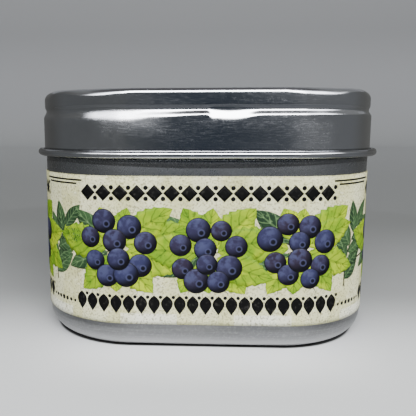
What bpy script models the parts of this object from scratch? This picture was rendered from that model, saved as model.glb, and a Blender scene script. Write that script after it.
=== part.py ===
"""Square metal tin with rounded corners: a drawn body, a slip lid with a rolled bead, and a paper label.

The three pieces stand closed, as they are stored: the lid is pushed down over the body's narrowed
neck, and the label is stuck round the body below it. +Z is up, the tin stands on z = 0 with its
middle on the Z axis, and the middle of the label faces -Y.
"""

import math

import bmesh
import bpy

# The plan outline, in metres. Each face bows out a little, between the corner arcs.
WIDTH = 0.0603
CORNER_RADIUS = 0.0174
FACE_TURN = 0.0155          # radians by which a face has turned where its corner starts
CORNER_STEPS = 8
FACE_STEPS = 2

SHEET = 0.00025             # tinplate thickness
TOUCH_GAP = 0.0003          # kept between pieces that touch in the real tin

# Body, drawn from one sheet. Offsets are from the outline: + outwards, - inwards.
BASE_ROUNDING = 0.00405
BASE_PANEL_RISE = 0.0008    # the middle of the base stands clear of the table
BASE_PANEL_INSET = 0.0075
BASE_STEP_WIDTH = 0.0012
NECK_BOTTOM = 0.0323
NECK_TOP = 0.0331
NECK_INSET = 0.00035
BODY_HEIGHT = 0.0397
RIM_RADIUS = 0.0005         # the mouth's edge is curled inwards
RIM_TURN = 250.0            # degrees of curl

# Lid.
LID_TOP = 0.0440
LID_PANEL_DROP = 0.0007     # the middle panel lies below the rim
LID_PANEL_INSET = 0.0034
LID_RIM_INSET = 0.0018
LID_EDGE_RADIUS = 0.0009
LID_BAND_OFFSET = 0.00005
LID_BAND_BOTTOM = 0.0415
GROOVE_Z = 0.0407
GROOVE_OFFSET = -0.00018
LID_WALL_TOP = 0.0392
LID_WALL_OFFSET = 0.00027
BEAD_Z = 0.03335
BEAD_INNER_RADIUS = 0.000455
BEAD_TURN = 292.0           # degrees by which the lower edge is rolled outwards

# Label: a paper strip, whose ends leave a narrow gap at the middle of the back.
LABEL_LENGTH = 0.2096
LABEL_BOTTOM = 0.00496
LABEL_TOP = 0.0300
LABEL_THICKNESS = 0.00015
LABEL_STEPS = 60

SMOOTH_BELOW = 40           # degrees between faces that still shade as one surface

FACE_RADIUS = (
    WIDTH / 2 + CORNER_RADIUS * (math.sin(FACE_TURN) - math.cos(FACE_TURN))
) / (1 + math.sin(FACE_TURN) - math.cos(FACE_TURN))


def outline(turn, offset=0.0):
    """The point of the plan outline whose outward normal has turned by this angle from -Y towards +X."""
    face = round(turn / (math.pi / 2))
    local = turn - face * math.pi / 2
    across, out = 0.0, WIDTH / 2 - FACE_RADIUS
    radius = FACE_RADIUS
    if abs(local) > FACE_TURN:
        reach = FACE_RADIUS - CORNER_RADIUS
        across = math.copysign(reach * math.sin(FACE_TURN), local)
        out += reach * math.cos(FACE_TURN)
        radius = CORNER_RADIUS
    across += (radius + offset) * math.sin(local)
    out += (radius + offset) * math.cos(local)
    c, s = math.cos(face * math.pi / 2), math.sin(face * math.pi / 2)
    return across * c + out * s, across * s - out * c


def outline_turns():
    """The angles at which the outline is sampled, once round: the faces, then their corners."""
    turns = []
    for quarter in range(4):
        middle = quarter * math.pi / 2
        turns += [
            middle - FACE_TURN + 2 * FACE_TURN * i / FACE_STEPS for i in range(FACE_STEPS)
        ]
        corner = math.pi / 2 - 2 * FACE_TURN
        turns += [middle + FACE_TURN + corner * i / CORNER_STEPS for i in range(CORNER_STEPS)]
    return turns


def turn_at(length):
    """The outline's angle at a distance along it from the middle of the front face."""
    face = FACE_RADIUS * FACE_TURN
    corner = CORNER_RADIUS * (math.pi / 2 - 2 * FACE_TURN)
    quarters, rest = divmod(abs(length), 2 * face + corner)
    if rest < face:
        local = rest / FACE_RADIUS
    elif rest < face + corner:
        local = FACE_TURN + (rest - face) / CORNER_RADIUS
    else:
        local = math.pi / 2 - (2 * face + corner - rest) / FACE_RADIUS
    return math.copysign(quarters * math.pi / 2 + local, length)


def arc(offset, z, radius, start, end, steps):
    """Points of a profile along a circle, in degrees counted from outwards towards up."""
    angles = [math.radians(start + (end - start) * i / steps) for i in range(steps + 1)]
    return [(offset + radius * math.cos(a), z + radius * math.sin(a)) for a in angles]


def eased(start, end, steps):
    """Points of a profile between two levels, leaving and arriving along the wall."""
    points = []
    for i in range(1, steps):
        share = i / steps
        blend = (1 - math.cos(math.pi * share)) / 2
        points.append(
            (start[0] + (end[0] - start[0]) * blend, start[1] + (end[1] - start[1]) * share)
        )
    return points + [end]


def finish(name, colour, roughness, metallic):
    material = bpy.data.materials.new(name)
    material.use_nodes = True
    shader = material.node_tree.nodes["Principled BSDF"]
    shader.inputs["Base Color"].default_value = (*colour, 1.0)
    shader.inputs["Roughness"].default_value = roughness
    shader.inputs["Metallic"].default_value = metallic
    return material


def add_piece(name, mesh, material, thickness):
    """A sheet piece: the mesh is its outer surface, and the thickness goes to the other side."""
    piece = bpy.data.objects.new(name, mesh)
    tin.objects.link(piece)
    mesh.materials.append(material)
    mesh.shade_smooth()
    mesh.set_sharp_from_angle(angle=math.radians(SMOOTH_BELOW))
    solidify = piece.modifiers.new("Sheet", "SOLIDIFY")
    solidify.thickness = thickness
    solidify.offset = -1.0
    solidify.use_even_offset = True
    return piece


def drawn_sheet(name, profile):
    """A flat panel of the outline's shape, extruded ring by ring along a profile of (offset, z)."""
    turns = outline_turns()
    bm = bmesh.new()
    place = bm.verts.layers.int.new("place")
    ring = bmesh.ops.create_circle(bm, cap_ends=True, segments=len(turns), radius=WIDTH / 2)["verts"]
    for i, vert in enumerate(ring):
        vert[place] = i
    edges = bm.edges[:]
    for step, (offset, z) in enumerate(profile):
        if step:
            grown = bmesh.ops.extrude_edge_only(bm, edges=edges)["geom"]
            ring = [item for item in grown if isinstance(item, bmesh.types.BMVert)]
            edges = [
                item for item in grown if isinstance(item, bmesh.types.BMEdge) and item.is_boundary
            ]
        for vert in ring:
            vert.co = (*outline(turns[vert[place]], offset), z)
    bmesh.ops.recalc_face_normals(bm, faces=bm.faces)
    mesh = bpy.data.meshes.new(name)
    bm.to_mesh(mesh)
    bm.free()
    return mesh


# Start from an empty scene.
for old in list(bpy.data.objects):
    bpy.data.objects.remove(old, do_unlink=True)

tin = bpy.data.collections.new("square_slip_lid_tin")
bpy.context.scene.collection.children.link(tin)

# Body: raised base panel, rest ring, rounded foot, straight wall, narrowed neck, curled-in mouth.
body_profile = [
    (-BASE_PANEL_INSET - BASE_STEP_WIDTH, BASE_PANEL_RISE),
    (-BASE_PANEL_INSET - BASE_STEP_WIDTH / 2, BASE_PANEL_RISE / 2),
    (-BASE_PANEL_INSET, 0.0),
]
body_profile += arc(-BASE_ROUNDING, BASE_ROUNDING, BASE_ROUNDING, -90, 0, steps=6)
body_profile += [(0.0, NECK_BOTTOM)]
body_profile += eased((0.0, NECK_BOTTOM), (-NECK_INSET, NECK_TOP), steps=4)
body_profile += arc(
    -NECK_INSET - RIM_RADIUS, BODY_HEIGHT - RIM_RADIUS, RIM_RADIUS, 0, RIM_TURN, steps=8
)
body_metal = finish("body_tinplate", (0.53, 0.53, 0.53), roughness=0.42, metallic=1.0)
add_piece("tin_body", drawn_sheet("tin_body", body_profile), body_metal, SHEET)

# Lid: sunk panel, raised rim, rounded edge, plain band, groove, wall, and the rolled bead at its foot.
lid_profile = [
    (-LID_PANEL_INSET, LID_TOP - LID_PANEL_DROP),
    ((-LID_PANEL_INSET - LID_RIM_INSET) / 2, LID_TOP - LID_PANEL_DROP / 2),
    (-LID_RIM_INSET, LID_TOP),
]
lid_profile += arc(
    LID_BAND_OFFSET - LID_EDGE_RADIUS, LID_TOP - LID_EDGE_RADIUS, LID_EDGE_RADIUS, 90, 0, steps=5
)
lid_profile += [(LID_BAND_OFFSET, LID_BAND_BOTTOM)]
lid_profile += eased((LID_BAND_OFFSET, LID_BAND_BOTTOM), (GROOVE_OFFSET, GROOVE_Z), steps=3)
lid_profile += eased((GROOVE_OFFSET, GROOVE_Z), (LID_WALL_OFFSET, LID_WALL_TOP), steps=4)
lid_profile += arc(
    LID_WALL_OFFSET + BEAD_INNER_RADIUS, BEAD_Z, BEAD_INNER_RADIUS, 180, 180 + BEAD_TURN, steps=10
)
lid_metal = finish("lid_tinplate", (0.60, 0.61, 0.63), roughness=0.22, metallic=1.0)
add_piece("lid", drawn_sheet("lid", lid_profile), lid_metal, SHEET)

# Label: a flat strip, wrapped round the body from the middle of the front face.
bm = bmesh.new()
bmesh.ops.create_grid(bm, x_segments=LABEL_STEPS, y_segments=1, size=0.5)
for vert in bm.verts:
    along = vert.co.x * LABEL_LENGTH
    z = LABEL_BOTTOM + (vert.co.y + 0.5) * (LABEL_TOP - LABEL_BOTTOM)
    vert.co = (*outline(turn_at(along), TOUCH_GAP + LABEL_THICKNESS), z)
label_mesh = bpy.data.meshes.new("label")
bm.to_mesh(label_mesh)
bm.free()
paper = finish("label_paper", (0.68, 0.63, 0.48), roughness=0.75, metallic=0.0)
add_piece("label", label_mesh, paper, LABEL_THICKNESS)
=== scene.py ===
import math
import random

import bmesh
import bpy
from mathutils import Matrix, Vector


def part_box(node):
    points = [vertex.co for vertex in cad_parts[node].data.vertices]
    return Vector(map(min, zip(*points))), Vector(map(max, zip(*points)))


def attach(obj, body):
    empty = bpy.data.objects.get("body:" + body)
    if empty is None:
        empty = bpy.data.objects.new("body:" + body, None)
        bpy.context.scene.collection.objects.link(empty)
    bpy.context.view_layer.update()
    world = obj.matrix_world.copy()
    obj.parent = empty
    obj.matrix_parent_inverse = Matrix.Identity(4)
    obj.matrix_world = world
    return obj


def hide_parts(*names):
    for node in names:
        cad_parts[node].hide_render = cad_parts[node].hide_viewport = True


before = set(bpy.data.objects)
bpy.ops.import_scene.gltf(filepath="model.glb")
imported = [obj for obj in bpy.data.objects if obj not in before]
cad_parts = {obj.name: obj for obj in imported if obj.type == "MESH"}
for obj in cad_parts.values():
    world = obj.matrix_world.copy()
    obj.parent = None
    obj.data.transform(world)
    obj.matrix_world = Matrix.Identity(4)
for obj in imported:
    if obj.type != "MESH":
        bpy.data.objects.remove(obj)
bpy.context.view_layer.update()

# Camera: close to the tin, a little lower than the lid's top, looking slightly down at the label.
# The tin stands right of the middle of the lens, so the frame is shifted towards it.
CAMERA_PLACE = (-0.00328, -0.11464, 0.03765)
CAMERA_YAW = 0.0518
CAMERA_PITCH = 0.1514
CAMERA_ROLL = -0.0018
CAMERA_LENS = 45.43
CAMERA_SENSOR = 36.0
CAMERA_SHIFT = (0.1165, -0.0016)

lens = bpy.data.cameras.new("camera")
lens.lens = CAMERA_LENS
lens.sensor_width = CAMERA_SENSOR
lens.shift_x, lens.shift_y = CAMERA_SHIFT
lens.clip_start = 0.005
lens.clip_end = 20.0
camera = bpy.data.objects.new("camera", lens)
camera.matrix_world = (
    Matrix.Translation(CAMERA_PLACE)
    @ Matrix.Rotation(CAMERA_YAW, 4, "Z")
    @ Matrix.Rotation(math.pi / 2 - CAMERA_PITCH, 4, "X")
    @ Matrix.Rotation(CAMERA_ROLL, 4, "Z")
)
bpy.context.scene.collection.objects.link(camera)
bpy.context.scene.camera = camera

# Floor and backdrop: one sweep of pale matt board. It is flat under the tin, runs back, and curves
# up into a wall far behind. Its colour carries the fall of light towards the back, the brighter
# patch in front of the tin, and the shade under and close round it.
FLOOR_HALF_WIDTH = 1.6
FLOOR_FRONT = -1.2
FLOOR_BACK = 1.1
WALL_HEIGHT = 1.6
SWEEP_RADIUS = 0.25
FLOOR_PALE = (0.63, 0.64, 0.645)
FLOOR_LIT = (0.83, 0.84, 0.845)
FLOOR_SHADE = (0.150, 0.154, 0.150)
FLOOR_FAR = (0.20, 0.204, 0.203)
WALL_GREY = (0.198, 0.201, 0.205)
WALL_TOP_GREY = (0.226, 0.229, 0.232)
TIN_FOOT_HALF = 0.0128
CONTACT_GREY = (0.03, 0.03, 0.03)
CONTACT_BACK = 0.0008
CONTACT_REACH = 0.0163
CONTACT_EDGE = 0.0006
SHADOW_GREY = (0.09, 0.09, 0.09)
SHADOW_BACK = 0.0050
SHADOW_START = 0.0135
SHADOW_REACH = 0.0205
SHADOW_DEPTH = 0.55


class Wire:
    """A shader socket in Python arithmetic: each operation on it adds a Math node."""

    def __init__(self, look, socket):
        self.look = look
        self.socket = socket

    def math(self, operation, *operands):
        return self.look.node("ShaderNodeMath", {"operation": operation}, dict(enumerate(operands)))

    def __add__(self, other):
        return self.math("ADD", self, other)

    def __radd__(self, other):
        return self.math("ADD", other, self)

    def __sub__(self, other):
        return self.math("SUBTRACT", self, other)

    def __rsub__(self, other):
        return self.math("SUBTRACT", other, self)

    def __mul__(self, other):
        return self.math("MULTIPLY", self, other)

    def __rmul__(self, other):
        return self.math("MULTIPLY", other, self)

    def __abs__(self):
        return self.math("ABSOLUTE", self)

    def root(self):
        return self.math("SQRT", self)

    def fraction(self):
        return self.math("FRACT", self)

    def at_least(self, low):
        return self.math("MAXIMUM", self, low)

    def at_most(self, high):
        return self.math("MINIMUM", self, high)

    def ramp(self, low, high):
        """0 below low, 1 above high, and eased between them."""
        settings = {"interpolation_type": "SMOOTHSTEP"}
        sockets = {0: self, 1: low, 2: high, 3: 0.0, 4: 1.0}
        return self.look.node("ShaderNodeMapRange", settings, sockets)


class Look:
    """A material, or the world, under construction."""

    def __init__(self, name, world=None):
        owner = world or bpy.data.materials.new(name)
        owner.use_nodes = True
        self.owner = owner
        self.tree = owner.node_tree
        self.shader = self.tree.nodes.get("Principled BSDF") or self.tree.nodes.get("Background")

    def node(self, kind, settings, sockets, output=0):
        made = self.tree.nodes.new(kind)
        for name, value in settings.items():
            setattr(made, name, value)
        for name, value in sockets.items():
            self.plug(made.inputs[name], value)
        return Wire(self, made.outputs[output])

    def plug(self, socket, value):
        if isinstance(value, Wire):
            self.tree.links.new(value.socket, socket)
        elif hasattr(socket.default_value, "__len__") and len(socket.default_value) == 4:
            socket.default_value = (*value[:3], 1.0)
        else:
            socket.default_value = value

    def set(self, **sockets):
        for name, value in sockets.items():
            self.plug(self.shader.inputs[name.replace("_", " ")], value)

    def place(self, scale=(1.0, 1.0, 1.0), of="Object"):
        """The point's coordinates in metres, or its UV, stretched by scale."""
        here = self.node("ShaderNodeTexCoord", {}, {}, of)
        settings = {"operation": "MULTIPLY"}
        return self.node("ShaderNodeVectorMath", settings, {0: here, 1: scale})

    def axes(self, vector):
        parts = self.node("ShaderNodeSeparateXYZ", {}, {0: vector})
        return [Wire(self, socket) for socket in parts.socket.node.outputs]

    def attribute(self, name):
        return self.node("ShaderNodeAttribute", {"attribute_name": name}, {}, "Fac")

    def noise(self, vector, detail):
        sockets = {"Vector": vector, "Scale": 1.0, "Detail": detail}
        return self.node("ShaderNodeTexNoise", {}, sockets)

    def mix(self, share, first, second):
        settings = {"data_type": "RGBA"}
        return self.node("ShaderNodeMix", settings, {0: share, 6: first, 7: second}, 2)

    def bump(self, height, distance, strength):
        sockets = {"Strength": strength, "Distance": distance, "Height": height}
        return self.node("ShaderNodeBump", {}, sockets)


board = Look("pale_board")
across, back, up = board.axes(board.place())
wall = up.ramp(0.0, 0.1)
lit = (1 - abs(across).ramp(0.012, 0.034)) * back.ramp(-0.046, -0.031)
falling = 0.7 * back.ramp(-0.034, 0.006) + 0.3 * back.ramp(-0.020, 0.100)
shade = board.mix(falling, board.mix(lit, FLOOR_PALE, FLOOR_LIT), FLOOR_SHADE)
shade = board.mix(back.ramp(0.08, 0.7), shade, FLOOR_FAR)


def past_middle(middle):
    """The distance on the floor from a square round this point behind the tin's middle."""
    side_x = (abs(across) - TIN_FOOT_HALF).at_least(0.0)
    side_y = (abs(back - middle) - TIN_FOOT_HALF).at_least(0.0)
    return (side_x * side_x + side_y * side_y).root()


past_shadow = past_middle(SHADOW_BACK).ramp(SHADOW_START, SHADOW_REACH)
shade = board.mix(SHADOW_DEPTH - SHADOW_DEPTH * past_shadow, shade, SHADOW_GREY)
past_contact = past_middle(CONTACT_BACK).ramp(CONTACT_REACH - CONTACT_EDGE, CONTACT_REACH)
shade = board.mix(past_contact, CONTACT_GREY, shade)
wall_tone = board.mix(up.ramp(0.17, 0.33), WALL_GREY, WALL_TOP_GREY)
board.set(
    Base_Color=board.mix(wall, shade, wall_tone),
    Roughness=0.6,
    Specular_IOR_Level=0.25,
)

bm = bmesh.new()
floor_front = bm.verts.new((-FLOOR_HALF_WIDTH, FLOOR_FRONT, 0.0))
floor_end = bm.verts.new((-FLOOR_HALF_WIDTH, FLOOR_BACK - SWEEP_RADIUS, 0.0))
bm.edges.new((floor_front, floor_end))
bmesh.ops.spin(
    bm,
    geom=[floor_end],
    cent=(-FLOOR_HALF_WIDTH, FLOOR_BACK - SWEEP_RADIUS, SWEEP_RADIUS),
    axis=(1.0, 0.0, 0.0),
    angle=math.pi / 2,
    steps=24,
    use_merge=False,
    use_duplicate=False,
)
wall_foot = max(bm.verts, key=lambda vert: vert.co.z)
wall_top = bm.verts.new((-FLOOR_HALF_WIDTH, FLOOR_BACK, WALL_HEIGHT))
bm.edges.new((wall_foot, wall_top))
grown = bmesh.ops.extrude_edge_only(bm, edges=bm.edges[:])["geom"]
far_side = [item for item in grown if isinstance(item, bmesh.types.BMVert)]
bmesh.ops.translate(bm, verts=far_side, vec=(2 * FLOOR_HALF_WIDTH, 0.0, 0.0))
bmesh.ops.recalc_face_normals(bm, faces=bm.faces)
mesh = bpy.data.meshes.new("sweep")
bm.to_mesh(mesh)
bm.free()
mesh.materials.append(board.owner)
mesh.shade_smooth()
sweep = bpy.data.objects.new("sweep", mesh)
bpy.context.scene.collection.objects.link(sweep)

# Light: a broad soft lamp high in front, in a grey room with a bright panel round its front. A
# dim curved card lies and stands where the camera is: only mirrors see it, and it gives the bright
# metal something dark to reflect.
KEY_PLACE = (0.07, -0.50, 0.42)
KEY_AIM = (0.0, 0.0, 0.02)
KEY_SIZE = (0.55, 0.26)
KEY_POWER = 5.0
ROOM_GREY = (0.245, 0.25, 0.25)
CEILING_GREY = (0.12, 0.12, 0.125)
LEFT_GREY = (0.13, 0.133, 0.130)
PANEL_LIGHT = (6.0, 6.1, 6.3)
PANEL_LOW = (0.42, 0.48)
PANEL_HIGH = (0.72, 0.84)
PANEL_FACING = (0.17, -0.98)
PANEL_SIDES = (0.15, 0.48)
CARD_NEAR = 0.042
CARD_RADIUS = 0.15
CARD_FOOT = 0.0006
CARD_HEIGHT = 0.088
CARD_REACH = math.radians(152.0)
CARD_FRONT = (0.030, 0.040, 0.056)
CARD_RIGHT = (0.136, 0.142, 0.148)
CARD_LEFT = (0.098, 0.103, 0.105)
CARD_BACK_RIGHT = (0.106, 0.107, 0.101)
CARD_BACK_LEFT = (0.070, 0.070, 0.066)

lamp = bpy.data.lights.new("key_lamp", "AREA")
lamp.shape = "RECTANGLE"
lamp.size, lamp.size_y = KEY_SIZE
lamp.energy = KEY_POWER
key = bpy.data.objects.new("key_lamp", lamp)
direction = Vector(KEY_AIM) - Vector(KEY_PLACE)
key.matrix_world = (
    Matrix.Translation(KEY_PLACE) @ direction.to_track_quat("-Z", "Y").to_matrix().to_4x4()
)
bpy.context.scene.collection.objects.link(key)

room_world = bpy.data.worlds.new("room")
bpy.context.scene.world = room_world
room = Look("room", room_world)
east, north, height = room.axes(room.place(of="Generated"))
panel = height.ramp(*PANEL_LOW) * (1 - height.ramp(*PANEL_HIGH))
panel = panel * (PANEL_FACING[0] * east + PANEL_FACING[1] * north).ramp(*PANEL_SIDES)
grey = room.mix(height.ramp(0.82, 0.88), ROOM_GREY, CEILING_GREY)
grey = room.mix((0.0 - east).ramp(0.45, 0.85), grey, LEFT_GREY)
room.set(Color=room.mix(panel, grey, PANEL_LIGHT), Strength=1.0)

card_look = Look("dim_card")
card_x, card_y = card_look.axes(card_look.place())[:2]
front_tone = card_look.mix(card_x.ramp(0.0, 0.09), CARD_FRONT, CARD_RIGHT)
front_tone = card_look.mix((0.0 - card_x).ramp(0.0, 0.045), front_tone, CARD_LEFT)
back_tone = card_look.mix(card_x.ramp(-0.02, 0.02), CARD_BACK_LEFT, CARD_BACK_RIGHT)
card_look.set(
    Base_Color=(0.0, 0.0, 0.0),
    Emission_Color=card_look.mix(card_y.ramp(-0.03, 0.05), front_tone, back_tone),
    Emission_Strength=1.0,
)
bm = bmesh.new()
near = bm.verts.new((0.0, -CARD_NEAR, CARD_FOOT))
far = bm.verts.new((0.0, -CARD_RADIUS, CARD_FOOT))
top = bm.verts.new((0.0, -CARD_RADIUS, CARD_HEIGHT))
bm.edges.new((near, far))
bm.edges.new((far, top))
bmesh.ops.rotate(bm, verts=bm.verts, matrix=Matrix.Rotation(-CARD_REACH, 3, "Z"))
bmesh.ops.spin(
    bm,
    geom=bm.verts[:] + bm.edges[:],
    axis=(0.0, 0.0, 1.0),
    angle=2 * CARD_REACH,
    steps=60,
    use_merge=False,
    use_duplicate=False,
)
mesh = bpy.data.meshes.new("dim_card")
bm.to_mesh(mesh)
bm.free()
mesh.materials.append(card_look.owner)
card = bpy.data.objects.new("dim_card", mesh)
bpy.context.scene.collection.objects.link(card)
card.visible_camera = False
card.visible_diffuse = False
card.visible_shadow = False
card.visible_transmission = False

# Tin body: drawn from one sheet of dull tinplate, with a raised panel in its base, a rounded foot,
# a straight wall, and a neck that goes up inside the lid to a mouth curled inwards.
SHEET = 0.00025
SMOOTH_BELOW = 40.0
body_low, body_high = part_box("tin_body")
WIDTH = body_high[0] - body_low[0]
CORNER_RADIUS = 0.0174
FACE_TURN = 0.0155
FACE_RADIUS = (
    WIDTH / 2 + CORNER_RADIUS * (math.sin(FACE_TURN) - math.cos(FACE_TURN))
) / (1 + math.sin(FACE_TURN) - math.cos(FACE_TURN))
BASE_ROUNDING = 0.00405
BASE_PANEL_RISE = 0.0008
BASE_PANEL_INSET = 0.0075
BASE_STEP_WIDTH = 0.0012
PANEL_EDGE_RING = 0.001
NECK_BOTTOM = 0.0323
NECK_TOP = 0.0331
NECK_INSET = 0.00035
RIM_RADIUS = 0.0005
RIM_TURN = 250.0
BODY_METAL = (0.25, 0.252, 0.256)
BODY_METAL_DARK = (0.21, 0.213, 0.22)
BODY_METAL_TOP = (0.48, 0.49, 0.505)
BODY_FLECK = (0.36, 0.36, 0.36)
BODY_STREAK = (0.15, 0.15, 0.148)
BODY_BEAD_SHADE = (0.11, 0.11, 0.108)
BODY_FOOT_HIGHLIGHT = (0.50, 0.50, 0.50)


def outline(turn, offset=0.0):
    """The point of the plan outline whose outward normal has turned by this angle from -Y to +X."""
    face = round(turn / (math.pi / 2))
    local = turn - face * math.pi / 2
    across, out = 0.0, WIDTH / 2 - FACE_RADIUS
    radius = FACE_RADIUS
    if abs(local) > FACE_TURN:
        reach = FACE_RADIUS - CORNER_RADIUS
        across = math.copysign(reach * math.sin(FACE_TURN), local)
        out += reach * math.cos(FACE_TURN)
        radius = CORNER_RADIUS
    across += (radius + offset) * math.sin(local)
    out += (radius + offset) * math.cos(local)
    c, s = math.cos(face * math.pi / 2), math.sin(face * math.pi / 2)
    return across * c + out * s, across * s - out * c


def outline_turns(face_steps, corner_steps):
    """The angles at which the outline is sampled, once round: the faces, then their corners."""
    turns = []
    for quarter in range(4):
        middle = quarter * math.pi / 2
        face_share = [i / face_steps for i in range(face_steps)]
        turns += [middle - FACE_TURN + 2 * FACE_TURN * share for share in face_share]
        corner_share = [i / corner_steps for i in range(corner_steps)]
        turns += [
            middle + FACE_TURN + (math.pi / 2 - 2 * FACE_TURN) * share for share in corner_share
        ]
    return turns


def arc(offset, z, radius, start, end, steps):
    """Points of a profile along a circle, in degrees counted from outwards towards up."""
    angles = [math.radians(start + (end - start) * i / steps) for i in range(steps + 1)]
    return [(offset + radius * math.cos(a), z + radius * math.sin(a)) for a in angles]


def between(low, high, share):
    return low + (high - low) * share


def ease(share):
    """The share of the way that an eased move has made, slow at both of its ends."""
    return (1 - math.cos(math.pi * share)) / 2


def eased(start, end, steps):
    """Points of a profile between two levels, leaving and arriving along the wall."""
    shares = [i / steps for i in range(1, steps)]
    return [
        (between(start[0], end[0], ease(s)), between(start[1], end[1], s)) for s in shares
    ] + [end]


def straight(start, end, steps):
    """Points of a profile along a line, the first left out."""
    shares = [(i + 1) / steps for i in range(steps)]
    return [(between(start[0], end[0], s), between(start[1], end[1], s)) for s in shares]


def finished_piece(name, bm, material):
    """Makes the object of a mesh in place, which rides on the tin."""
    mesh = bpy.data.meshes.new(name)
    bm.to_mesh(mesh)
    bm.free()
    mesh.materials.append(material)
    mesh.shade_smooth()
    mesh.set_sharp_from_angle(angle=math.radians(SMOOTH_BELOW))
    piece = bpy.data.objects.new(name, mesh)
    bpy.context.scene.collection.objects.link(piece)
    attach(piece, "root")
    return piece


def drawn_sheet(profile, turns, settle=None):
    """A flat panel of the outline's shape, extruded ring by ring along a profile of (offset, z)."""
    bm = bmesh.new()
    place = bm.verts.layers.int.new("place")
    ring = bmesh.ops.create_circle(
        bm, cap_ends=True, segments=len(turns), radius=WIDTH / 2
    )["verts"]
    for i, vert in enumerate(ring):
        vert[place] = i
    edges = bm.edges[:]
    for step, (offset, z) in enumerate(profile):
        if step:
            grown = bmesh.ops.extrude_edge_only(bm, edges=edges)["geom"]
            ring = [item for item in grown if isinstance(item, bmesh.types.BMVert)]
            edges = [
                item for item in grown if isinstance(item, bmesh.types.BMEdge) and item.is_boundary
            ]
        for vert in ring:
            turn = turns[vert[place]]
            settled_offset, settled_z = settle(turn, offset, z) if settle else (offset, z)
            vert.co = (*outline(turn, settled_offset), settled_z)
    bmesh.ops.recalc_face_normals(bm, faces=bm.faces)
    return bm


def thicken(piece, thickness, even=False):
    """Gives a sheet its thickness, inwards from its outer surface."""
    solidify = piece.modifiers.new("thickness", "SOLIDIFY")
    solidify.thickness = thickness
    solidify.offset = -1.0
    solidify.use_even_offset = even


base_step = (-BASE_PANEL_INSET - BASE_STEP_WIDTH, BASE_PANEL_RISE)
body_profile = [(base_step[0] - PANEL_EDGE_RING, BASE_PANEL_RISE), base_step]
body_profile += eased(base_step, (-BASE_PANEL_INSET, 0.0), 8)
body_profile += straight((-BASE_PANEL_INSET, 0.0), (-BASE_ROUNDING - 0.0002, 0.0), 2)
body_profile += arc(-BASE_ROUNDING, BASE_ROUNDING, BASE_ROUNDING, -90, 0, 22)
body_profile += straight((0.0, BASE_ROUNDING), (0.0, NECK_BOTTOM), 12)
body_profile += eased((0.0, NECK_BOTTOM), (-NECK_INSET, NECK_TOP), 8)
body_profile += arc(
    -NECK_INSET - RIM_RADIUS, body_high[2] - RIM_RADIUS, RIM_RADIUS, 0, RIM_TURN, 16
)

dull_tinplate = Look("dull_tinplate")
grain = dull_tinplate.noise(dull_tinplate.place((250.0, 250.0, 5200.0)), detail=3.0)
cloud = dull_tinplate.noise(dull_tinplate.place((90.0, 90.0, 240.0)), detail=3.0)
speck = dull_tinplate.noise(dull_tinplate.place((2400.0, 2400.0, 2400.0)), detail=2.0)
across, deep, high = dull_tinplate.axes(dull_tinplate.place())
# Streaked low down, paler higher up; a painted highlight at the foot and painted shade under the
# lid's bead.
upper = high.ramp(0.012, 0.020)
streak = (1 - upper) * grain.ramp(0.42, 0.62)
tone = dull_tinplate.mix(cloud.ramp(0.3, 0.7), BODY_METAL, BODY_METAL_DARK)
tone = dull_tinplate.mix(0.4 * speck.ramp(0.45, 0.70), tone, BODY_FLECK)
tone = dull_tinplate.mix(0.35 * streak, tone, BODY_STREAK)
# Painted highlight: the lowest few millimetres of the foot are made paler.
tone = dull_tinplate.mix(0.8 * (1 - high.ramp(0.0006, 0.0032)), tone, BODY_FOOT_HIGHLIGHT)
tone = dull_tinplate.mix(upper * (0.95 - 0.4 * speck.ramp(0.35, 0.65)), tone, BODY_METAL_TOP)
from_middle = abs(across).at_most(abs(deep))
# Painted shade: a dark band under the lid's bead, narrower towards the corners.
bead_shade = (high - 0.0008 * from_middle.ramp(0.002, 0.028)).ramp(0.0310, 0.0312)
bead_shade = bead_shade * (0.8 - 0.4 * high.ramp(0.0317, 0.0320))
dull_tinplate.set(
    Base_Color=dull_tinplate.mix(bead_shade, tone, BODY_BEAD_SHADE),
    Roughness=0.30 + 0.08 * cloud + 0.10 * speck - 0.11 * upper,
    Metallic=1.0,
    Normal=dull_tinplate.bump(0.4 * grain + 0.6 * speck, 0.00003, 0.6),
)

body = finished_piece(
    "body", drawn_sheet(body_profile, outline_turns(8, 36)), dull_tinplate.owner
)
thicken(body, SHEET, even=True)
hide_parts("tin_body")

# Lid: drawn from brighter tinplate, polished by its handling. Its panel is sunk inside a raised
# rim, a groove with shallow dents is pressed in below the top band, and its foot is rolled outwards
# into a bead.
lid_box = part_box("lid")
LID_TOP_LOWER = 0.00012
LID_TOP = lid_box[1][2] - LID_TOP_LOWER
LID_PANEL_DROP = 0.0007
LID_PANEL_INSET = 0.0034
LID_RIM_INSET = 0.0018
LID_EDGE_RADIUS = 0.0009
EDGE_SOFTER = 0.62
EDGE_SOFTER_FROM = (0.0110, 0.0185)
EDGE_CRISPER = 0.15
EDGE_CRISPER_FROM = (0.0205, 0.0255)
LID_BAND_OFFSET = 0.00005
LID_BAND_BOTTOM = 0.0413
GROOVE_Z = 0.04053
GROOVE_OFFSET = -0.00018
LID_WALL_TOP = 0.0386
LID_WALL_LEVEL = 0.0350
LID_WALL_OFFSET = 0.00030
BEAD_BOTTOM = 0.03267
BEAD_INNER_RADIUS = 0.00045
BEAD_OUT = 0.00118
BEAD_LOWER_RADIUS = 0.00037
BEAD_UPPER_RADIUS = 0.00035
BEAD_END = 118.0
LID_METAL = (0.66, 0.67, 0.70)
LID_CREASE_SHADE = (0.22, 0.225, 0.235)
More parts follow.
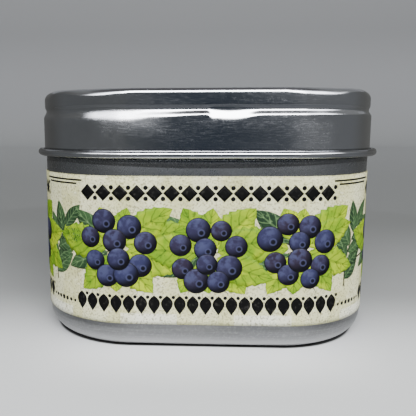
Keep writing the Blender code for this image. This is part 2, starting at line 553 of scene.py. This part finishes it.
# Along each face in turn, from its middle in metres: the height of the groove's lower slope and the
# lift of its floor, in millimetres.
GROOVE_DENTS = (
    (
        (-0.0262, 2.2, 0.05),
        (-0.0172, 2.4, 0.26),
        (-0.0130, 2.3, 0.17),
        (-0.0085, 1.5, 0.06),
        (-0.0001, 1.0, 0.0),
        (0.0008, 2.2, 0.27),
        (0.0034, 2.5, 0.27),
        (0.0090, 1.1, 0.0),
        (0.0262, 1.05, 0.0),
    ),
    (
        (-0.0262, 1.05, 0.0),
        (-0.0040, 1.2, 0.0),
        (0.0060, 2.1, 0.1),
        (0.0160, 1.4, 0.0),
        (0.0262, 1.6, 0.0),
    ),
    (
        (-0.0262, 1.6, 0.0),
        (-0.0100, 1.1, 0.0),
        (0.0020, 1.0, 0.1),
        (0.0140, 1.9, 0.0),
        (0.0262, 1.2, 0.0),
    ),
    (
        (-0.0262, 1.2, 0.0),
        (-0.0080, 1.9, 0.1),
        (0.0050, 1.0, 0.0),
        (0.0180, 1.3, 0.0),
        (0.0262, 2.2, 0.0),
    ),
)

panel_edge = (-LID_PANEL_INSET, LID_TOP - LID_PANEL_DROP)
lid_profile = [(panel_edge[0] - PANEL_EDGE_RING, panel_edge[1]), panel_edge]
lid_profile += eased(panel_edge, (-LID_RIM_INSET, LID_TOP), 10)
lid_profile += arc(
    LID_BAND_OFFSET - LID_EDGE_RADIUS, LID_TOP - LID_EDGE_RADIUS, LID_EDGE_RADIUS, 90, 0, 14
)
lid_profile += straight(
    (LID_BAND_OFFSET, LID_TOP - LID_EDGE_RADIUS), (LID_BAND_OFFSET, LID_BAND_BOTTOM), 4
)
lid_profile += eased((LID_BAND_OFFSET, LID_BAND_BOTTOM), (GROOVE_OFFSET, GROOVE_Z), 8)
lid_profile += eased((GROOVE_OFFSET, GROOVE_Z), (LID_WALL_OFFSET, LID_WALL_TOP), 12)
bead_start = BEAD_BOTTOM + SHEET + BEAD_INNER_RADIUS
bead_middle = BEAD_BOTTOM + SHEET + BEAD_LOWER_RADIUS
bead_out = LID_WALL_OFFSET + BEAD_OUT - SHEET
lid_profile += straight((LID_WALL_OFFSET, LID_WALL_TOP), (LID_WALL_OFFSET, bead_start), 12)[:-1]
lid_profile += arc(
    LID_WALL_OFFSET + BEAD_INNER_RADIUS, bead_start, BEAD_INNER_RADIUS, 180, 270, 8
)
lid_profile += arc(bead_out - BEAD_LOWER_RADIUS, bead_middle, BEAD_LOWER_RADIUS, -90, 0, 9)
lid_profile += arc(
    bead_out - BEAD_UPPER_RADIUS, bead_middle, BEAD_UPPER_RADIUS, 0, BEAD_END, 14
)[1:]


def length_at(local):
    """The distance along the outline from the middle of a face to the point at this angle."""
    face = FACE_RADIUS * min(abs(local), FACE_TURN)
    corner = CORNER_RADIUS * max(abs(local) - FACE_TURN, 0.0)
    return math.copysign(face + corner, local)


def share_of(value, low, high):
    """How far a value has come from low to high, held between 0 and 1."""
    return min(max((value - low) / (high - low), 0.0), 1.0)


def settled(turn, offset, z):
    """Where a point of the lid lies: the top edge is rounder where a corner starts, and the groove
    lies higher and slopes further in places."""
    face = round(turn / (math.pi / 2))
    dents = GROOVE_DENTS[face % 4]
    along = length_at(turn - face * math.pi / 2)
    for start, end in zip(dents, dents[1:]):
        if along <= end[0]:
            break
    share = ease(share_of(along, start[0], end[0]))
    run = 0.001 * between(start[1], end[1], share)
    lift = 0.001 * between(start[2], end[2], share)
    starts = share_of(abs(along), *EDGE_SOFTER_FROM)
    ends = share_of(abs(along), *EDGE_CRISPER_FROM)
    softer = 1 + EDGE_SOFTER * ease(starts - ends) - EDGE_CRISPER * ease(ends)
    edge_inside = LID_BAND_OFFSET - softer * LID_EDGE_RADIUS
    if z > LID_TOP - LID_EDGE_RADIUS and offset > LID_BAND_OFFSET - LID_EDGE_RADIUS:
        offset = LID_BAND_OFFSET + softer * (offset - LID_BAND_OFFSET)
    levels = (
        (LID_TOP, LID_TOP),
        (LID_TOP - LID_EDGE_RADIUS, LID_TOP - softer * LID_EDGE_RADIUS),
        (LID_BAND_BOTTOM, LID_BAND_BOTTOM),
        (GROOVE_Z, GROOVE_Z + lift),
        (LID_WALL_TOP, GROOVE_Z + lift - run),
        (LID_WALL_LEVEL, LID_WALL_LEVEL),
    )
    if offset < edge_inside - 0.00001:
        return offset, z
    for (top, new_top), (low, new_low) in zip(levels, levels[1:]):
        if low <= z < top:
            return offset, between(new_low, new_top, (z - low) / (top - low))
    return offset, z


bright_tinplate = Look("bright_tinplate")
along, deep, high = bright_tinplate.axes(bright_tinplate.place())
grain = bright_tinplate.noise(bright_tinplate.place((300.0, 300.0, 6500.0)), detail=3.0)
cloud = bright_tinplate.noise(bright_tinplate.place((70.0, 70.0, 150.0)), detail=2.0)
scratch = bright_tinplate.noise(bright_tinplate.place((700.0, 700.0, 7000.0)), detail=2.0)
speck = bright_tinplate.noise(bright_tinplate.place((2600.0, 2600.0, 3400.0)), detail=1.0)
from_middle = abs(along).at_most(abs(deep))
# The polish is hazed near the corners and below the groove's dent, and rubbed where it is handled.
shoulder = from_middle.ramp(0.005, 0.011) * (1 - from_middle.ramp(0.015, 0.021))
haze = shoulder * high.ramp(0.0350, 0.0390) * (1 - high.ramp(0.0398, 0.0408))
haze = haze * (0.03 + 0.14 * (0.0 - along).ramp(-0.004, 0.004))
glow = (1 - abs(along - 0.0046).ramp(0.003, 0.008)) * high.ramp(0.0366, 0.0386)
haze = haze + 0.055 * glow * (1 - high.ramp(0.0386, 0.0394))
handled = along.ramp(0.010, 0.017) * (1 - along.ramp(0.0185, 0.0220))
handled = handled * high.ramp(0.0335, 0.0345) * (1 - high.ramp(0.0380, 0.0394))
worn = 0.08 * scratch.ramp(0.42, 0.74) + 0.05 * speck.ramp(0.50, 0.78) + haze + 0.09 * handled
# Painted shade darkens the crease above the bead and, in the middle of each face, the foot of the
# band.
crease_shade = high.ramp(0.03352, 0.0337) * (1 - high.ramp(0.03405, 0.03415))
band_foot_shade = high.ramp(0.0406, 0.0409) * (1 - high.ramp(0.0412, 0.0414))
crease_shade = 0.75 * crease_shade + 0.35 * band_foot_shade * (1 - from_middle.ramp(0.012, 0.018))
bright_tinplate.set(
    Base_Color=bright_tinplate.mix(crease_shade, LID_METAL, LID_CREASE_SHADE),
    Roughness=0.07 + 0.05 * grain + 0.07 * cloud.ramp(0.35, 0.75) + worn,
    Metallic=1.0,
    Normal=bright_tinplate.bump(0.7 * grain + 0.3 * scratch, 0.000008, 0.5),
)

lid_turns = outline_turns(64, 28)
lid = finished_piece(
    "lid_shell", drawn_sheet(lid_profile, lid_turns, settled), bright_tinplate.owner
)
thicken(lid, SHEET, even=True)
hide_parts("lid")

# Label: a strip of flecked paper glued round the body, with its ends a little apart at the middle
# of the back, and a row of paler blocks along its foot.
LABEL_LENGTH = 0.2096
LABEL_BOTTOM = 0.00480
LABEL_TOP = 0.02986
PAPER_OFFSET = 0.00014
PAPER_THICKNESS = 0.0001
PAPER_CREAM = (0.50, 0.49, 0.25)
PAPER_PALE = (0.61, 0.60, 0.35)
PAPER_WHITE = (0.74, 0.74, 0.62)
PAPER_FLECK = (0.19, 0.18, 0.09)
BLOCKS = 11
BLOCKS_TOP = (0.071, 0.075)


def turn_at(length):
    """The outline's angle at a distance along it from the middle of the front face."""
    face = FACE_RADIUS * FACE_TURN
    corner = CORNER_RADIUS * (math.pi / 2 - 2 * FACE_TURN)
    quarters, rest = divmod(abs(length), 2 * face + corner)
    if rest < face:
        local = rest / FACE_RADIUS
    elif rest < face + corner:
        local = FACE_TURN + (rest - face) / CORNER_RADIUS
    else:
        local = math.pi / 2 - (2 * face + corner - rest) / FACE_RADIUS
    return math.copysign(quarters * math.pi / 2 + local, length)


paper = Look("label_paper")
round_tin, up_strip = paper.axes(paper.place(of="UV"))[:2]
fleck = paper.noise(paper.place((3000.0, 3000.0, 3000.0)), detail=3.0)
fibre = paper.noise(paper.place((900.0, 900.0, 2600.0)), detail=3.0)
blotch = paper.noise(paper.place((260.0, 260.0, 260.0)), detail=3.0)
stripe = abs((round_tin * BLOCKS * 2).fraction() - 0.5).ramp(0.20, 0.30)
block = abs((round_tin * BLOCKS).fraction() - 0.5).ramp(0.245, 0.255)
block = block * (1 - up_strip.ramp(*BLOCKS_TOP))
tone = paper.mix(blotch.ramp(0.35, 0.65), PAPER_CREAM, PAPER_PALE)
tone = paper.mix(0.2 * stripe + 0.7 * block, tone, PAPER_WHITE)
tone = paper.mix(0.4 * fibre.ramp(0.56, 0.72), tone, PAPER_WHITE)
tone = paper.mix(0.75 * fleck.ramp(0.48, 0.68), tone, PAPER_FLECK)
edge = abs(up_strip - 0.5).ramp(0.485, 0.5)
paper.set(
    Base_Color=paper.mix(0.35 * edge, tone, PAPER_FLECK),
    Roughness=0.5 + 0.1 * fibre,
    Normal=paper.bump(0.6 * fleck + 0.4 * fibre, 0.00003, 0.4),
    Specular_IOR_Level=0.2,
)

bm = bmesh.new()
bm.loops.layers.uv.new("UVMap")
bmesh.ops.create_grid(bm, x_segments=420, y_segments=30, size=0.5, calc_uvs=True)
for vert in bm.verts:
    along = vert.co.x * LABEL_LENGTH
    z = between(LABEL_BOTTOM, LABEL_TOP, vert.co.y + 0.5)
    vert.co = (*outline(turn_at(along), PAPER_OFFSET), z)
label = finished_piece("label_strip", bm, paper.owner)
thicken(label, PAPER_THICKNESS)
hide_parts("label")

# Print, borders: black ink on the paper, a flat thin coat. A chain of lozenges runs along the top
# of each face and a row of tongues along its foot, and fine rules and dots go round the corners.
INK_COAT = 0.000003
FACE_LENGTH = 2 * (FACE_RADIUS * FACE_TURN + CORNER_RADIUS * (math.pi / 4 - FACE_TURN))
PRINT_END = LABEL_LENGTH / 2 - 0.0005
BLACK_INK = (0.003, 0.003, 0.003)
BLACK_INK_THIN = (0.022, 0.021, 0.019)
BORDER_LIFT = 0.000010
CHAIN_HALF = 0.0199
CHAIN_Z = 0.02705
CHAIN_PITCH = 0.00284
CHAIN_LOZENGE = 0.00140
CHAIN_DOT = 0.00038
CHAIN_DOT_RISE = 0.0009
TONGUE_HALF = 0.0215
TONGUE_FOOT = 0.00655
TONGUE_PITCH = 0.00215
TONGUE_SIZE = (0.0033, 0.00200)
TONGUE_DOT = 0.00030
TONGUE_DOT_RISE = 0.0030
RULES = ((0.02895, 0.0052), (0.02835, 0.00416))
RULE_THICKNESS = 0.00030
CORNER_DOTS_Z = 0.00775
CORNER_DOTS_PITCH = 0.00105
CORNER_DOT = 0.00042
CORNER_DOT_LESS = 0.00005


def print_mesh():
    """An empty mesh for one ink, with a UV map and a tint for each patch."""
    bm = bmesh.new()
    bm.loops.layers.uv.new("UVMap")
    bm.verts.layers.float.new("tint")
    return bm


def ink(bm, cells, lift, shape, tint=0.5):
    """A patch of ink: a grid whose points the shape places, along the label and up it."""
    added = bmesh.ops.create_grid(
        bm, x_segments=cells[0], y_segments=cells[1], size=0.5, calc_uvs=True
    )["verts"]
    layer = bm.verts.layers.float["tint"]
    for vert in added:
        along, z = shape(vert.co.x + 0.5, vert.co.y * 2)
        vert[layer] = tint
        vert.co = (*outline(turn_at(along), PAPER_OFFSET + lift), z)
    bmesh.ops.remove_doubles(bm, verts=added, dist=0.000002)


def printed(name, bm, look):
    look.set(Specular_IOR_Level=0.1)
    thicken(finished_piece(name, bm, look.owner), INK_COAT)


def lozenge(middle, half):
    def shape(share, over):
        side = 2 * share - 1
        return middle[0] + half * (side + over) / 2, middle[1] + half * (over - side) / 2

    return shape


def disc(middle, radius):
    def shape(share, over):
        side = 2 * share - 1
        x = side * math.sqrt(1 - over * over / 2)
        z = over * math.sqrt(1 - side * side / 2)
        return middle[0] + radius * x, middle[1] + radius * z

    return shape


def leaf(foot, heading, size, bend=0.0, teeth=0, fullest=0.85):
    """A blade that points in its heading, bends, and may have a toothed edge."""
    length, width = size

    def shape(share, over):
        turned = heading + bend * (share - 0.5)
        ahead = heading + bend * (share - 1) / 2
        half = width / 2 * max(math.sin(math.pi * share**fullest), 0.0) ** 0.9
        if teeth:
            half *= 1 - 0.22 * (share * teeth % 1)
        x = foot[0] + length * share * math.cos(ahead) - over * half * math.sin(turned)
        z = foot[1] + length * share * math.sin(ahead) + over * half * math.cos(turned)
        return x, z

    return shape


def bow(start, end, sag):
    """The path between two points that bows to its left."""
    run = (end[0] - start[0], end[1] - start[1])

    def path(share):
        side = 4 * sag * share * (1 - share) / math.hypot(*run)
        x = start[0] + run[0] * share - run[1] * side
        return x, start[1] + run[1] * share + run[0] * side

    return path


def stroke(path, thickness, taper=0.0):
    """A line along a path, which gets thinner towards its end."""

    def shape(share, over):
        (x0, z0), (x, z), (x1, z1) = path(share - 0.01), path(share), path(share + 0.01)
        half = over * thickness / 2 * (1 - taper * share) / math.hypot(x1 - x0, z1 - z0)
        return x - half * (z1 - z0), z + half * (x1 - x0)

    return shape


black_ink = Look("black_print")
wear = black_ink.noise(black_ink.place((1800.0, 1800.0, 1800.0)), detail=3.0)
black_ink.set(
    Base_Color=black_ink.mix(wear.ramp(0.55, 0.75), BLACK_INK, BLACK_INK_THIN),
    Roughness=0.42 + 0.2 * wear,
)

faces = [FACE_LENGTH * i for i in range(-2, 3)]
corners = [FACE_LENGTH * (i + 0.5) for i in range(-2, 2)]

bm = print_mesh()
for middle in faces:
    count = int(CHAIN_HALF / CHAIN_PITCH)
    for i in range(-count, count + 1):
        at = middle + i * CHAIN_PITCH
        if abs(at) + CHAIN_PITCH < PRINT_END:
            ink(bm, (4, 4), BORDER_LIFT, lozenge((at, CHAIN_Z), CHAIN_LOZENGE))
            for dot_z in (CHAIN_Z - CHAIN_DOT_RISE, CHAIN_Z + CHAIN_DOT_RISE):
                ink(bm, (4, 4), BORDER_LIFT, disc((at + CHAIN_PITCH / 2, dot_z), CHAIN_DOT))
    count = int(TONGUE_HALF / TONGUE_PITCH)
    for i in range(-count, count + 1):
        at = middle + i * TONGUE_PITCH
        if abs(at) + TONGUE_PITCH < PRINT_END:
            tongue = leaf((at, TONGUE_FOOT), math.pi / 2, TONGUE_SIZE, fullest=1.25)
            ink(bm, (12, 4), BORDER_LIFT, tongue)
            dot_place = (at + TONGUE_PITCH / 2, TONGUE_FOOT + TONGUE_DOT_RISE)
            ink(bm, (4, 4), BORDER_LIFT, disc(dot_place, TONGUE_DOT))
for middle in corners:
    for z, reach in RULES:
        path = bow((middle - reach, z), (middle + reach, z), 0.0)
        ink(bm, (40, 1), BORDER_LIFT, stroke(path, RULE_THICKNESS))
    for i in range(-4, 5):
        dot_place = (middle + i * CORNER_DOTS_PITCH, CORNER_DOTS_Z)
        ink(bm, (4, 4), BORDER_LIFT, disc(dot_place, CORNER_DOT - CORNER_DOT_LESS * abs(i)))
printed("print_borders", bm, black_ink)

# Print, garland: three bunches of blue berries hang along a thin vine on each face, each over a fan
# of lime and dark leaves, and a twig of narrow dark leaves stands at each corner. Coloured inks.
SEED = 7
BUNCHES = ((-0.0148, 0.0177), (0.0003, 0.0170), (0.0150, 0.0179))
BUNCH_HALF = 0.0118
GARLAND_LOW = 0.0103
GARLAND_HIGH = 0.0247
VINE_SAG = 0.0026
VINE_THICKNESS = 0.00030
STALK_REACH = 1.9
STALK_THICKNESS = 0.00018
STEM_LIFT = 0.000012
DARK_LEAF_LIFT = 0.000016
LIME_LEAF_LIFT = 0.000030
BERRY_LIFT = 0.000060
LAYER = 0.000003
FAN = (78, 112, 42, 146, 14, 172, -18, 202, -52, 236, -92)
FAN_FOOT = 0.0016
LIME_LEAF_SIZE = (0.0102, 0.0060)
DARK_LEAF_SIZE = (0.0085, 0.0036)
TWIG_LEAF_SIZE = (0.0062, 0.0027)
TWIG_LEAVES = 9
BERRY_RADIUS = 0.00195
BERRY_SHIFT = 0.0008
BERRY_PLACES = (
    (-0.0018, 0.0044),
    (0.0020, 0.0041),
    (-0.0045, 0.0016),
    (0.0048, 0.0012),
    (-0.0039, -0.0022),
    (0.0037, -0.0026),
    (-0.0002, 0.0012),
    (-0.0017, -0.0046),
    (0.0018, -0.0047),
    (0.0000, -0.0021),
)
LIME = (0.38, 0.48, 0.006)
LIME_SHADE = (0.12, 0.24, 0.006)
LIME_DEEP = (0.025, 0.07, 0.010)
DARK_GREEN = (0.045, 0.10, 0.035)
DARK_GREEN_LIGHT = (0.13, 0.22, 0.09)
DARK_GREEN_DEEP = (0.012, 0.03, 0.014)
BERRY_BLUE = (0.024, 0.026, 0.070)
BERRY_VIOLET = (0.022, 0.016, 0.030)
BERRY_SHADE = (0.004, 0.004, 0.006)
BERRY_BLOOM = (0.054, 0.060, 0.125)
STEM_BROWN = (0.028, 0.024, 0.016)
STEM_LIGHT = (0.09, 0.075, 0.045)


def leaf_look(name, light, shade, vein):
    """Inks of a leaf: one half darker, a midrib, side veins, and the strokes of a brush."""
    look = Look(name)
    share, over = look.axes(look.place(of="UV"))[:2]
    tint = look.attribute("tint")
    side = abs(over - 0.5) * 2
    brush = look.noise(look.place((1500.0, 1500.0, 1500.0)), detail=4.0)
    wash = look.noise(look.place((420.0, 420.0, 420.0)), detail=2.0)
    side_vein = 1 - abs((share * 6 - side * 1.4).fraction() - 0.5).ramp(0.04, 0.14)
    midrib = 1 - side.ramp(0.05, 0.12)
    tone = look.mix(0.6 * wash.ramp(0.35, 0.65) + 0.5 * tint, light, shade)
    tone = look.mix(0.45 * over.ramp(0.46, 0.54) + 0.3 * side.ramp(0.7, 1.0), tone, shade)
    tone = look.mix(0.55 * brush.ramp(0.55, 0.72), tone, vein)
    look.set(
        Base_Color=look.mix(0.5 * side_vein + 0.4 * midrib, tone, vein),
        Roughness=0.45 + 0.1 * brush,
    )
    return look


lime_print = leaf_look("lime_print", LIME, LIME_SHADE, LIME_DEEP)
dark_print = leaf_look("dark_leaf_print", DARK_GREEN, DARK_GREEN_DEEP, DARK_GREEN_LIGHT)

stem_print = Look("stem_print")
bark = stem_print.noise(stem_print.place((1600.0, 1600.0, 1600.0)), detail=3.0)
stem_print.set(
    Base_Color=stem_print.mix(bark.ramp(0.5, 0.75), STEM_BROWN, STEM_LIGHT),
    Roughness=0.45 + 0.1 * bark,
)

berry_print = Look("berry_print")
side, over = berry_print.axes(berry_print.place((2.0, 2.0, 1.0), of="UV"))[:2]
side, over = side - 1, over - 1
# Each berry is shaded as a ball lit from the upper left, with a dusty bloom and a ring at its end.
tint = berry_print.attribute("tint")
right = side * (1 - 0.5 * over * over).root()
up = over * (1 - 0.5 * side * side).root()
out = right * right + up * up
facing = 0.60 * up - 0.45 * right + 0.65 * (1 - out).at_least(0.0).root()
dust = berry_print.noise(berry_print.place((1100.0, 1100.0, 1100.0)), detail=4.0)
from_eye = (right - 0.24) * (right - 0.24) + (up + 0.22) * (up + 0.22)
eye_rim = 1 - abs(from_eye - 0.060).ramp(0.01, 0.045)
eye = 1 - from_eye.ramp(0.015, 0.04)
tone = berry_print.mix(tint, BERRY_BLUE, BERRY_VIOLET)
tone = berry_print.mix(facing.ramp(-0.1, 0.85), BERRY_SHADE, tone)
tone = berry_print.mix(0.75 * facing.ramp(0.35, 0.95) * dust.ramp(0.38, 0.62), tone, BERRY_BLOOM)
tone = berry_print.mix(0.55 * eye_rim, tone, BERRY_BLOOM)
tone = berry_print.mix(0.85 * eye, tone, BERRY_SHADE)
berry_print.set(
    Base_Color=berry_print.mix(out.ramp(0.80, 1.0), tone, BERRY_SHADE),
    Roughness=0.4 + 0.1 * dust,
)

chance = random.Random(SEED)


def varied(value, spread):
    return value + spread * (chance.random() - 0.5)


lime_leaves, dark_leaves, stems, berries = (print_mesh() for kind in range(4))
laid = 0
bunches = [(middle + x, z) for middle in faces for x, z in BUNCHES]
bunches = [(x, z) for x, z in bunches if abs(x) + BUNCH_HALF < PRINT_END]
for x, z in bunches:
    for i, degrees in enumerate(FAN):
        heading = math.radians(varied(degrees, 14))
        rise = math.sin(heading)
        foot = (x + FAN_FOOT * math.cos(heading), z + FAN_FOOT * rise)
        room_left = ((GARLAND_HIGH if rise > 0 else GARLAND_LOW) - foot[1]) / rise
        bm, size, lift, teeth = lime_leaves, LIME_LEAF_SIZE, LIME_LEAF_LIFT, 8
        if i % 4 == 3:
            bm, size, lift, teeth = dark_leaves, DARK_LEAF_SIZE, DARK_LEAF_LIFT, 0
        length = min(size[0] * varied(1.0, 0.25), room_left)
        width = size[1] * varied(1.0, 0.2) * min(1.0, 0.55 + 0.45 * length / size[0])
        blade = leaf(foot, heading, (length, width), varied(0.0, 0.7), teeth)
        laid += 1
        ink(bm, (24, 6), lift + LAYER * (laid % 8), blade, chance.random())
    for i, (aside, above) in enumerate(BERRY_PLACES):
        place = (x + varied(aside, BERRY_SHIFT), z + varied(above, BERRY_SHIFT))
        radius = BERRY_RADIUS * varied(1.0, 0.24)
        ink(berries, (8, 8), BERRY_LIFT + LAYER * i, disc(place, radius), chance.random())
        tip_z = min(max(z + STALK_REACH * above, GARLAND_LOW), GARLAND_HIGH - 0.0015)
        path = bow((x, z), (x + STALK_REACH * aside, tip_z), varied(0.0, 0.002))
        ink(stems, (12, 1), STEM_LIFT, stroke(path, STALK_THICKNESS, 0.5))
for i, (start, end) in enumerate(zip(bunches, bunches[1:])):
    path = bow(start, end, VINE_SAG if i % 2 else -VINE_SAG)
    ink(stems, (60, 1), STEM_LIFT + LAYER, stroke(path, VINE_THICKNESS))
for x in corners:
    path = bow((x - 0.0018, GARLAND_LOW + 0.0004), (x + 0.0012, GARLAND_HIGH - 0.0040), 0.0012)
    ink(stems, (48, 1), STEM_LIFT + 2 * LAYER, stroke(path, VINE_THICKNESS, 0.5))
    for i in range(TWIG_LEAVES):
        share = 0.12 + 0.11 * i
        foot, ahead = path(share), path(share + 0.01)
        turned = math.atan2(ahead[1] - foot[1], ahead[0] - foot[0])
        if i < TWIG_LEAVES - 1:
            turned += varied(0.85, 0.2) * (1 if i % 2 else -1)
        size = (TWIG_LEAF_SIZE[0] * varied(0.95, 0.2), TWIG_LEAF_SIZE[1] * varied(1.0, 0.2))
        blade = leaf(foot, turned, size, varied(0.0, 0.6))
        ink(dark_leaves, (20, 6), DARK_LEAF_LIFT + LAYER * i, blade, chance.random())
printed("print_stems", stems, stem_print)
printed("print_dark_leaves", dark_leaves, dark_print)
printed("print_lime_leaves", lime_leaves, lime_print)
printed("print_berries", berries, berry_print)
